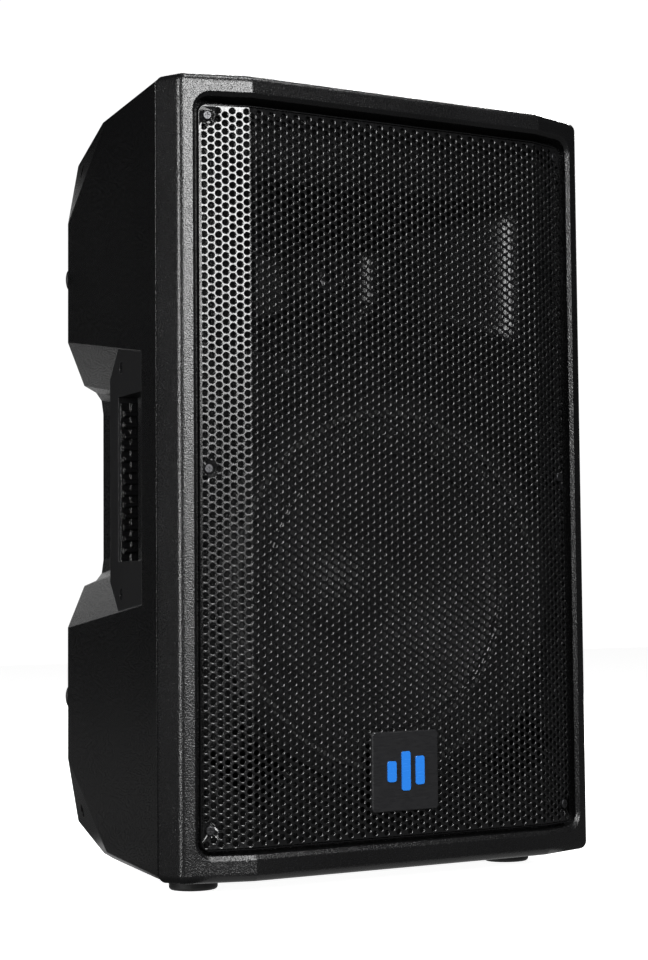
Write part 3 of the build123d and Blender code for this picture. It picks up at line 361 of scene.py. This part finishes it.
def woofer_edge():
    """Half-roll edge in sectors, between the basket and the moving cone."""
    low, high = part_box("woofer_surround")
    centre_x = (low.x + high.x) / 2
    centre_z = (low.z + high.z) / 2
    outer = (high.x - low.x) / 2
    cone_low, cone_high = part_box("woofer_cone")
    inner = (cone_high.x - cone_low.x) / 2 - EDGE_LAP
    seat = high.y - EDGE_SEAT
    crest = high.y - low.y - 2 * EDGE_SEAT
    pieces = []
    for sector in range(EDGE_SECTORS):
        build = Builder()
        middle = 2 * math.pi * (sector + 0.5) / EDGE_SECTORS
        rings = []
        for row in range(EDGE_ROWS + 1):
            share = row / EDGE_ROWS
            radius = inner + (outer - inner) * share
            lip = min(1.0, max(0.0, (share - FLAT_LIP) / (1 - 2 * FLAT_LIP)))
            rise = crest * math.sin(math.pi * lip)
            line = []
            for step in range(EDGE_STEPS + 1):
                a = middle + math.pi / EDGE_SECTORS * (2 * step / EDGE_STEPS - 1)
                line.append((centre_x + radius * math.cos(a), seat - rise, centre_z + radius * math.sin(a)))
            rings.append(build.ring(line))
        backs = [build.ring([(x, y + EDGE_CLOTH, z) for x, y, z in (build.points[i] for i in ring)])
                 for ring in rings]
        for row in range(EDGE_ROWS):
            for step in range(EDGE_STEPS):
                build.face((rings[row][step], rings[row + 1][step], rings[row + 1][step + 1],
                            rings[row][step + 1]), True)
                build.face((backs[row][step], backs[row][step + 1], backs[row + 1][step + 1],
                            backs[row + 1][step]), True)
        for row in range(EDGE_ROWS):
            for step in (0, EDGE_STEPS):
                build.face((rings[row][step], rings[row + 1][step], backs[row + 1][step], backs[row][step]))
        for step in range(EDGE_STEPS):
            for row in (0, EDGE_ROWS):
                build.face((rings[row][step], rings[row][step + 1], backs[row][step + 1], backs[row][step]))
        piece = build.make(f"woofer_edge_{sector + 1:02d}")
        weld(piece)
        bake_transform(piece)
        pieces.append(piece)
    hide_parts("woofer_surround")
    return pieces


def cone_bead():
    """Bead of black adhesive where the cone meets its cloth edge."""
    low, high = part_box("woofer_cone")
    centre_x = (low.x + high.x) / 2
    centre_z = (low.z + high.z) / 2
    radius = (high.x - low.x) / 2 - BEAD_INSET
    middle_y = low.y + BEAD_DEPTH
    build = Builder()
    rings = []
    for step in range(BEAD_STEPS):
        a = 2 * math.pi * step / BEAD_STEPS
        ring = []
        for turn in range(BEAD_SIDES):
            b = 2 * math.pi * turn / BEAD_SIDES
            r = radius + BEAD_RADIUS * math.cos(b)
            ring.append((centre_x + r * math.cos(a), middle_y + BEAD_RADIUS * math.sin(b),
                         centre_z + r * math.sin(a)))
        rings.append(build.ring(ring))
    for i in range(BEAD_STEPS):
        build.band(rings[i], rings[(i + 1) % BEAD_STEPS], True)
    bead = build.make("cone_bead")
    weld(bead)
    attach(bead, "cone_body")
    return bead


# ---- amplifier panel marks ---------------------------------------------------------------------
KNOB_SWEEP = 145                      # degrees either side of the middle
KNOB_TICKS = 11
TICK_GAP = 2.4 * MM                   # from a knob to its scale
LONG_TICK = 2.2 * MM
SHORT_TICK = 1.3 * MM
MARK_WIDTH = 0.5 * MM
MARK_LIFT = 0.08 * MM
MARK_SINK = 0.02 * MM
GROUP_LINE = 46 * MM                  # line over each pair of knobs
GROUP_RISE = 7.5 * MM


def panel_marks():
    """Printed scale ticks round each knob, raised a hair above the panel."""
    panel_low, panel_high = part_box("amp_panel")
    face = panel_high.y
    build = Builder()

    def bar(x, z, angle, length):
        """One printed stroke about a point."""
        along = Vector((math.cos(angle), 0, math.sin(angle)))
        across = Vector((-math.sin(angle), 0, math.cos(angle)))
        corners = [(1, 1), (-1, 1), (-1, -1), (1, -1)]
        rings = []
        for depth in (face - MARK_SINK, face + MARK_LIFT):
            points = [Vector((x, depth, z)) + along * a * length / 2 + across * b * MARK_WIDTH / 2
                      for a, b in corners]
            rings.append(build.ring([tuple(p) for p in points]))
        build.band(rings[0], rings[1])
        build.face(rings[1])
        build.face(rings[0][::-1])

    for knob in ("knob_input_one", "knob_input_two", "knob_bass", "knob_treble"):
        low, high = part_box(knob)
        x, z = (low.x + high.x) / 2, (low.z + high.z) / 2
        reach = (high.x - low.x) / 2 + TICK_GAP
        for step in range(KNOB_TICKS):
            angle = math.radians(90 - KNOB_SWEEP + 2 * KNOB_SWEEP / (KNOB_TICKS - 1) * step)
            length = LONG_TICK if step % 5 == 0 else SHORT_TICK
            bar(x + reach * math.cos(angle), z + reach * math.sin(angle), angle, length)
    for group in (("knob_input_one", "knob_input_two"), ("knob_bass", "knob_treble")):
        first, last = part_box(group[0]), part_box(group[1])
        middle = (first[0].x + last[1].x) / 2
        bar(middle, first[1].z + GROUP_RISE, 0.0, GROUP_LINE)
    marks = build.make("panel_marks")
    weld(marks)
    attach(marks, "cabinet")
    return marks


# ---- materials -----------------------------------------------------------------------------------
class Surface:
    """One material and short ways to add and join its nodes."""

    def __init__(self, name, **settings):
        self.material = bpy.data.materials.new(name)
        self.material.use_nodes = True
        self.tree = self.material.node_tree
        self.shader = self.tree.nodes["Principled BSDF"]
        for key, value in settings.items():
            self.shader.inputs[key.replace("_", " ")].default_value = value
        self.place = self.add("ShaderNodeTexCoord").outputs["Object"]

    def add(self, kind, settings=None, **inputs):
        """Node of a kind, with its own settings and its inputs plugged."""
        node = self.tree.nodes.new(kind)
        for key, value in (settings or {}).items():
            setattr(node, key, value)
        for key, value in inputs.items():
            self.plug(node.inputs[key.replace("_", " ")], value)
        return node

    def plug(self, socket, value):
        """Links a socket, or sets a constant on it."""
        if isinstance(value, bpy.types.NodeSocket):
            self.tree.links.new(value, socket)
        else:
            socket.default_value = value

    def stretched(self, x, y, z):
        """Place scaled by axis, for brushed or woven detail."""
        return self.add("ShaderNodeMapping", Vector=self.place, Scale=(x, y, z)).outputs["Vector"]

    def noise(self, scale, detail=2.0, rough=0.5, place=None):
        node = self.add("ShaderNodeTexNoise", Vector=place or self.place, Scale=scale, Detail=detail,
                        Roughness=rough)
        return node.outputs["Fac"]

    def cells(self, scale, feature="F1"):
        node = self.add("ShaderNodeTexVoronoi", {"feature": feature}, Vector=self.place, Scale=scale)
        return node.outputs["Distance"]

    def waves(self, scale, direction):
        node = self.add("ShaderNodeTexWave", {"bands_direction": direction}, Vector=self.place, Scale=scale)
        return node.outputs["Fac"]

    def math(self, operation, a, b):
        node = self.add("ShaderNodeMath", {"operation": operation})
        self.plug(node.inputs[0], a)
        self.plug(node.inputs[1], b)
        return node.outputs[0]

    def remap(self, value, low, high, to_low, to_high):
        node = self.add("ShaderNodeMapRange", Value=value, From_Min=low, From_Max=high, To_Min=to_low,
                        To_Max=to_high)
        return node.outputs["Result"]

    def blend(self, share, first, second):
        node = self.add("ShaderNodeMix", {"data_type": "RGBA"})
        self.plug(node.inputs[0], share)
        self.plug(node.inputs[6], (*first, 1.0) if isinstance(first, tuple) else first)
        self.plug(node.inputs[7], (*second, 1.0) if isinstance(second, tuple) else second)
        return node.outputs[2]

    def colour(self, value):
        self.plug(self.shader.inputs["Base Color"], (*value, 1.0) if isinstance(value, tuple) else value)

    def rough(self, value):
        self.plug(self.shader.inputs["Roughness"], value)

    def bump(self, height, distance, strength=1.0, below=None):
        node = self.add("ShaderNodeBump", Height=height, Distance=distance, Strength=strength)
        if below:
            self.plug(node.inputs["Normal"], below)
        return node.outputs["Normal"]

    def soft_edge(self, radius):
        return self.add("ShaderNodeBevel", {"samples": 4}, Radius=radius).outputs["Normal"]

    def normal(self, value):
        self.plug(self.shader.inputs["Normal"], value)

    def edge_share(self, radius):
        """Near 1 along sharp edges, where handling polishes the surface."""
        turned = self.add("ShaderNodeVectorMath", {"operation": "DOT_PRODUCT"})
        self.plug(turned.inputs[0], self.soft_edge(radius))
        self.plug(turned.inputs[1], self.add("ShaderNodeNewGeometry").outputs["Normal"])
        return self.remap(turned.outputs["Value"], 0.98, 0.8, 0.0, 1.0)


BLACK_CAST = (1.0, 1.0, 1.06)         # the blacks lean a little to blue


def moulded(name, shade, grain, depth, rough, sharp=0.5 * MM, wear=0.02, specular=0.5):
    """Black moulded plastic with a pebbled grain, handling marks and polished edges."""
    s = Surface(name, Specular_IOR_Level=specular)
    base = tuple(shade * c for c in BLACK_CAST)
    light = tuple((shade + wear) * c for c in BLACK_CAST)
    patches = s.remap(s.noise(9.0, 3.0), 0.35, 0.7, 0.0, 0.35)
    edges = s.edge_share(1.2 * MM)
    scuffs = s.remap(s.noise(55.0, 6.0, 0.7, s.stretched(1.0, 1.0, 0.25)), 0.62, 0.75, 0.0, 0.6)
    share = s.math("ADD", s.math("MULTIPLY", edges, 0.6), s.math("MULTIPLY", scuffs, 0.25))
    s.colour(s.blend(s.math("ADD", share, patches), base, light))
    pebbles = s.cells(1.0 / grain, "SMOOTH_F1")
    fine = s.noise(1.2 / grain, 3.0)
    height = s.math("ADD", s.math("MULTIPLY", pebbles, 0.7), s.math("MULTIPLY", fine, 0.5))
    s.normal(s.bump(height, depth, 1.0, s.soft_edge(sharp)))
    uneven = s.remap(fine, 0.3, 0.7, rough - 0.05, rough + 0.07)
    s.rough(s.math("SUBTRACT", uneven, s.math("MULTIPLY", edges, 0.08)))
    return s.material


def powder_coat(name, shade, grain, depth, rough, metal=0.0):
    """Black powder coat: an orange-peel skin over sheet steel."""
    s = Surface(name, Metallic=metal)
    peel = s.noise(1.0 / grain, 3.0, 0.55)
    speck = s.cells(0.6 / grain)
    s.colour(s.blend(s.remap(s.noise(30.0, 4.0), 0.3, 0.7, 0.0, 1.0), (shade, shade, shade * 1.06),
                     (shade * 1.5, shade * 1.5, shade * 1.6)))
    s.rough(s.remap(speck, 0.1, 0.8, rough - 0.06, rough + 0.08))
    s.normal(s.bump(peel, depth))
    return s.material


def bare_metal(name, colour, rough, brushed=(1.0, 1.0, 0.05), tarnish=0.25):
    """Plated or rolled metal with fine drawn lines and a little tarnish."""
    s = Surface(name, Metallic=1.0)
    lines = s.noise(1600.0, 4.0, 0.6, s.stretched(*brushed))
    dull = tuple(c * (1 - tarnish) for c in colour)
    s.colour(s.blend(s.remap(s.noise(40.0, 5.0, 0.6), 0.4, 0.7, 0.0, 1.0), colour, dull))
    s.rough(s.remap(lines, 0.3, 0.7, rough - 0.07, rough + 0.1))
    s.normal(s.bump(lines, 0.02 * MM, 0.5, s.soft_edge(0.25 * MM)))
    return s.material


RUBBER_GRAIN = 0.5 * MM


def rubber(name, shade, rough):
    """Moulded rubber with a dusty bloom."""
    s = Surface(name, Sheen_Weight=0.02, Sheen_Roughness=0.5)
    bloom = s.remap(s.noise(70.0, 5.0, 0.65), 0.45, 0.75, 0.0, 1.0)
    s.colour(s.blend(bloom, (shade, shade, shade), (shade * 2.0, shade * 2.0, shade * 1.9)))
    skin = s.noise(1.0 / RUBBER_GRAIN, 3.0)
    s.rough(s.remap(skin, 0.3, 0.7, rough - 0.05, rough + 0.08))
    s.normal(s.bump(skin, 0.06 * MM, 1.0, s.soft_edge(0.6 * MM)))
    return s.material


def woven(name, colour, pitch, depth, rough=0.9, sheen=0.3):
    """Cloth: two sets of crossing threads with uneven slubs."""
    s = Surface(name, Sheen_Weight=sheen, Sheen_Roughness=0.4)
    turns = 1.0 / pitch / 3.0
    warp = s.waves(turns, "X")
    weft = s.waves(turns, "Z")
    weave = s.math("MAXIMUM", warp, weft)
    slub = s.noise(500.0, 3.0)
    dark = tuple(c * 0.6 for c in colour)
    s.colour(s.blend(s.math("MULTIPLY", weave, slub), dark, colour))
    s.rough(s.remap(slub, 0.3, 0.7, rough - 0.05, min(1.0, rough + 0.05)))
    s.normal(s.bump(weave, depth))
    return s.material


def fibrous(name, colour, scale, depth, rough=0.85, sheen=0.2):
    """Pressed pulp, foam or wadding: tangled fibres of one colour."""
    s = Surface(name, Sheen_Weight=sheen)
    fibres = s.noise(scale, 8.0, 0.75, s.stretched(1.0, 0.6, 1.4))
    pores = s.cells(scale * 1.3)
    dark = tuple(c * 0.55 for c in colour)
    s.colour(s.blend(s.remap(fibres, 0.3, 0.7, 0.0, 1.0), dark, colour))
    s.rough(s.remap(pores, 0.0, 0.8, rough + 0.08, rough - 0.06))
    s.normal(s.bump(s.math("SUBTRACT", fibres, s.math("MULTIPLY", pores, 0.4)), depth))
    return s.material


def glossy(name, colour, rough=0.22, speck=0.3, coat=0.3):
    """Smooth moulding or enamel with faint hairlines and dust."""
    s = Surface(name, Coat_Weight=coat, Coat_Roughness=0.15)
    dust = s.remap(s.noise(260.0, 6.0, 0.7), 0.55, 0.8, 0.0, speck)
    pale = tuple(min(1.0, c * 1.35 + 0.015) for c in colour)
    s.colour(s.blend(dust, colour, pale))
    hair = s.noise(900.0, 2.0, 0.5, s.stretched(0.15, 1.0, 1.0))
    s.rough(s.remap(hair, 0.3, 0.75, rough - 0.05, rough + 0.12))
    s.normal(s.bump(s.noise(900.0, 2.0), 0.012 * MM, 1.0, s.soft_edge(0.3 * MM)))
    return s.material


def circuit_board(name):
    """Green glass-fibre board with copper tracks under the mask."""
    s = Surface(name, Coat_Weight=0.2)
    tracks = s.math("GREATER_THAN", s.cells(160.0, "DISTANCE_TO_EDGE"), 0.06)
    weave = s.waves(700.0, "X")
    s.colour(s.blend(tracks, (0.07, 0.34, 0.14), (0.015, 0.14, 0.06)))
    s.rough(s.remap(weave, 0.0, 1.0, 0.3, 0.42))
    s.normal(s.bump(tracks, 0.05 * MM))
    return s.material


def lamp(name, colour):
    """Translucent lens of a status light."""
    s = Surface(name, Transmission_Weight=0.4, Roughness=0.25, Emission_Strength=0.35)
    mottle = s.remap(s.noise(700.0, 2.0), 0.3, 0.7, 0.0, 1.0)
    tint = s.blend(mottle, colour, tuple(c * 0.7 for c in colour))
    s.colour(tint)
    s.plug(s.shader.inputs["Emission Color"], tint)
    return s.material


def materials():
    """The finish of every material slot in the record."""
    return {
        "shell_plastic": moulded("shell_plastic", 0.004, 1.0 * MM, 0.05 * MM, 0.26, wear=0.004,
                                 specular=0.4),
        "frame_plastic": moulded("frame_plastic", 0.004, 0.9 * MM, 0.24 * MM, 0.26, sharp=0.8 * MM,
                                 wear=0.006),
        "handle_plastic": moulded("handle_plastic", 0.007, 0.8 * MM, 0.06 * MM, 0.4, wear=0.01),
        "horn_plastic": moulded("horn_plastic", 0.004, 0.7 * MM, 0.02 * MM, 0.24, sharp=1.5 * MM,
                                wear=0.004),
        "knob_black": moulded("knob_black", 0.018, 0.4 * MM, 0.02 * MM, 0.5, sharp=0.2 * MM),
        "grille_steel": powder_coat("grille_steel", 0.004, 0.9 * MM, 0.02 * MM, 0.2),
        "panel_paint": powder_coat("panel_paint", 0.02, 0.7 * MM, 0.05 * MM, 0.5),
        "basket_steel": powder_coat("basket_steel", 0.008, 1.2 * MM, 0.03 * MM, 0.38),
        "screw_black": powder_coat("screw_black", 0.025, 0.5 * MM, 0.015 * MM, 0.3, metal=0.7),
        "black_anodised": bare_metal("black_anodised", (0.035, 0.035, 0.037), 0.38, (1.0, 0.05, 1.0), 0.15),
        "zinc_steel": bare_metal("zinc_steel", (0.62, 0.62, 0.59), 0.32),
        "sheet_aluminium": bare_metal("sheet_aluminium", (0.7, 0.71, 0.73), 0.34, (0.05, 1.0, 1.0), 0.12),
        "tin_plate": bare_metal("tin_plate", (0.68, 0.67, 0.64), 0.28),
        # titanium darkened far below bare metal: painted shade on the driver's diaphragm, so it gives back
        # no highlight from inside the throat
        "titanium": bare_metal("titanium", (0.09, 0.088, 0.09), 0.42, (1.0, 1.0, 1.0), 0.15),
        "brass": bare_metal("brass", (0.72, 0.52, 0.22), 0.3, (1.0, 1.0, 1.0), 0.35),
        "copper_former": bare_metal("copper_former", (0.72, 0.34, 0.18), 0.35, (1.0, 0.04, 1.0), 0.2),
        "rubber_black": rubber("rubber_black", 0.004, 0.6),
        "grip_rubber": moulded("grip_rubber", 0.006, 0.6 * MM, 0.02 * MM, 0.2, sharp=1.2 * MM,
                               wear=0.004),
        "wire_red": rubber("wire_red", 0.06, 0.55),
        "cloth": woven("cloth", (0.012, 0.012, 0.013), 0.7 * MM, 0.08 * MM, sheen=0.1),
        "spider_cloth": woven("spider_cloth", (0.55, 0.38, 0.16), 0.8 * MM, 0.1 * MM),
        "paper_cone": fibrous("paper_cone", (0.012, 0.012, 0.013), 350.0, 0.12 * MM, 0.6),
        "foam": fibrous("foam", (0.03, 0.03, 0.03), 900.0, 0.2 * MM),
        "wool": fibrous("wool", (0.45, 0.45, 0.46), 120.0, 1.2 * MM, 0.9, 0.5),
        "ferrite": fibrous("ferrite", (0.08, 0.08, 0.085), 600.0, 0.05 * MM, 0.5, 0.0),
        "badge_black": glossy("badge_black", (0.012, 0.012, 0.013), 0.3, 0.2, 0.2),
        "emblem_blue": glossy("emblem_blue", (0.02, 0.2, 0.72), 0.2, 0.1, 0.6),
        "rocker_black": glossy("rocker_black", (0.018, 0.018, 0.019)),
        "inlet_black": glossy("inlet_black", (0.02, 0.02, 0.021), 0.35, 0.3, 0.0),
        "parts_dark": glossy("parts_dark", (0.03, 0.035, 0.06), 0.3),
        "switch_grey": glossy("switch_grey", (0.22, 0.22, 0.24), 0.4, 0.25, 0.0),
        "board_green": circuit_board("board_green"),
        "lamp_green": lamp("lamp_green", (0.05, 0.6, 0.12)),
    }


def dress(pieces_of_slot, finishes):
    """Gives every CAD node and every new piece the finish of its slot."""
    for row in frame["record"]["subparts"]:
        node = frame["nodes"][row["node"]]
        node.data.materials.clear()
        node.data.materials.append(finishes[row["material_slot"]])
    for slot, pieces in pieces_of_slot.items():
        for piece in pieces:
            piece.data.materials.clear()
            piece.data.materials.append(finishes[slot])


# ---- stage ---------------------------------------------------------------------------------------
CAMERA_PLACE = (-1.0113, -1.6844, 0.2180)
CAMERA_YAW = math.radians(34.93)
CAMERA_PITCH = math.radians(4.43)
CAMERA_ROLL = math.radians(-0.72)
CAMERA_SENSOR = 36.0
CAMERA_LENS = 87.73875
CAMERA_SHIFT_X = -0.13489583     # both in frame heights
CAMERA_SHIFT_Y = -0.066354167


def camera():
    """Camera with the photograph's place, turn and framing."""
    forward = Vector((math.sin(CAMERA_YAW) * math.cos(CAMERA_PITCH),
                      math.cos(CAMERA_YAW) * math.cos(CAMERA_PITCH), math.sin(CAMERA_PITCH)))
    right = Vector((math.cos(CAMERA_YAW), -math.sin(CAMERA_YAW), 0.0))
    up = right.cross(forward)
    turned_right = right * math.cos(CAMERA_ROLL) + up * math.sin(CAMERA_ROLL)
    turned_up = up * math.cos(CAMERA_ROLL) - right * math.sin(CAMERA_ROLL)
    data = bpy.data.cameras.new("camera")
    data.sensor_width = CAMERA_SENSOR
    data.lens = CAMERA_LENS
    data.shift_x = CAMERA_SHIFT_X
    data.shift_y = CAMERA_SHIFT_Y
    data.clip_end = 100.0
    thing = bpy.data.objects.new("camera", data)
    bpy.context.scene.collection.objects.link(thing)
    turn = Matrix((turned_right, turned_up, -forward)).transposed().to_4x4()
    thing.matrix_world = Matrix.Translation(CAMERA_PLACE) @ turn
    bpy.context.scene.camera = thing


FLOOR_HALF = 6.0
FLOOR_SEEN = 0.95            # glow of the floor and the surround as the camera sees them
FLOOR_GLOW = 0.01            # and as the object sees them
FLOOR_PALE = (0.85, 0.85, 0.85)
FLOOR_DIM = (0.06, 0.06, 0.06)
WORLD_SEEN = 1.05
WORLD_GLOW = 0.005
WHITE = (1.0, 1.0, 1.0, 1.0)
UNDER_HALF_X = 0.17          # patch of floor that lights the edges turned down towards it
UNDER_HALF_Y = 0.19
UNDER_GLOW = 0.5

# name, place, point it faces, width, height and power
LIGHTS = [
    ("softbox_front", (-0.45, -2.9, 1.35), (-0.15, -0.15, 0.45), 0.8, 1.4, 105.0),
    ("strip_left", (-2.4, -0.65, 0.75), (0.0, 0.0, 0.35), 0.2, 1.6, 50.0),
    ("card_above", (0.395, -0.49, 2.45), (-0.156, -0.153, 0.03), 0.5, 0.5, 22.0),
    ("card_behind", (0.62, 3.0, 0.5), (-0.15, 0.08, 0.35), 0.9, 1.4, 3.0),
    ("softbox_rear", (1.7, 2.3, 1.5), (0.0, 0.17, 0.35), 1.2, 1.2, 90.0),
]


def softbox(name, place, target, width, height, power):
    """Rectangular soft light turned to a point, unseen by the camera."""
    data = bpy.data.lights.new(name, "AREA")
    data.shape = "RECTANGLE"
    data.size = width
    data.size_y = height
    data.energy = power
    thing = bpy.data.objects.new(name, data)
    bpy.context.scene.collection.objects.link(thing)
    aim = (Vector(target) - Vector(place)).to_track_quat("-Z", "Y")
    thing.matrix_world = Matrix.Translation(place) @ aim.to_matrix().to_4x4()
    thing.visible_camera = False


def floor():
    """Pale floor, with a patch under the object that lights its lower edges."""
    build = Builder()
    corners = [(-1, -1), (1, -1), (1, 1), (-1, 1)]
    build.face(build.ring([(x * FLOOR_HALF, y * FLOOR_HALF, 0.0) for x, y in corners]))
    thing = build.make("floor")
    finish = Surface("floor_white", Specular_IOR_Level=0.0, Emission_Color=WHITE)
    finish.rough(0.9)
    path = finish.add("ShaderNodeLightPath")
    seen = finish.remap(path.outputs["Is Camera Ray"], 0.0, 1.0, FLOOR_GLOW, FLOOR_SEEN)
    finish.colour(finish.blend(path.outputs["Is Camera Ray"], FLOOR_DIM, FLOOR_PALE))
    apart = finish.add("ShaderNodeSeparateXYZ", Vector=finish.place)
    near_x = finish.math("LESS_THAN", finish.math("ABSOLUTE", apart.outputs["X"], 0.0), UNDER_HALF_X)
    near_y = finish.math("LESS_THAN", finish.math("ABSOLUTE", apart.outputs["Y"], 0.0), UNDER_HALF_Y)
    under = finish.math("MULTIPLY", finish.math("MULTIPLY", near_x, near_y), path.outputs["Is Glossy Ray"])
    glow = finish.math("ADD", seen, finish.math("MULTIPLY", under, UNDER_GLOW))
    finish.plug(finish.shader.inputs["Emission Strength"], glow)
    thing.data.materials.append(finish.material)


def surround():
    """Plain pale surround that hardly lights the object."""
    world = bpy.data.worlds.new("studio")
    world.use_nodes = True
    tree = world.node_tree
    path = tree.nodes.new("ShaderNodeLightPath")
    strength = tree.nodes.new("ShaderNodeMapRange")
    strength.inputs["To Min"].default_value = WORLD_GLOW
    strength.inputs["To Max"].default_value = WORLD_SEEN
    tree.links.new(path.outputs["Is Camera Ray"], strength.inputs["Value"])
    back = tree.nodes["Background"]
    back.inputs["Color"].default_value = WHITE
    tree.links.new(strength.outputs["Result"], back.inputs["Strength"])
    bpy.context.scene.world = world
    bpy.context.scene.view_settings.view_transform = "Standard"


# ---- the scene -----------------------------------------------------------------------------------
grille = perforated_grille()
edge = woofer_edge()
bead = cone_bead()
marks = panel_marks()
finishes = materials()
dress({"grille_steel": grille, "cloth": edge, "switch_grey": [marks], "rocker_black": [bead]}, finishes)
camera()
floor()
for light in LIGHTS:
    softbox(*light)
surround()
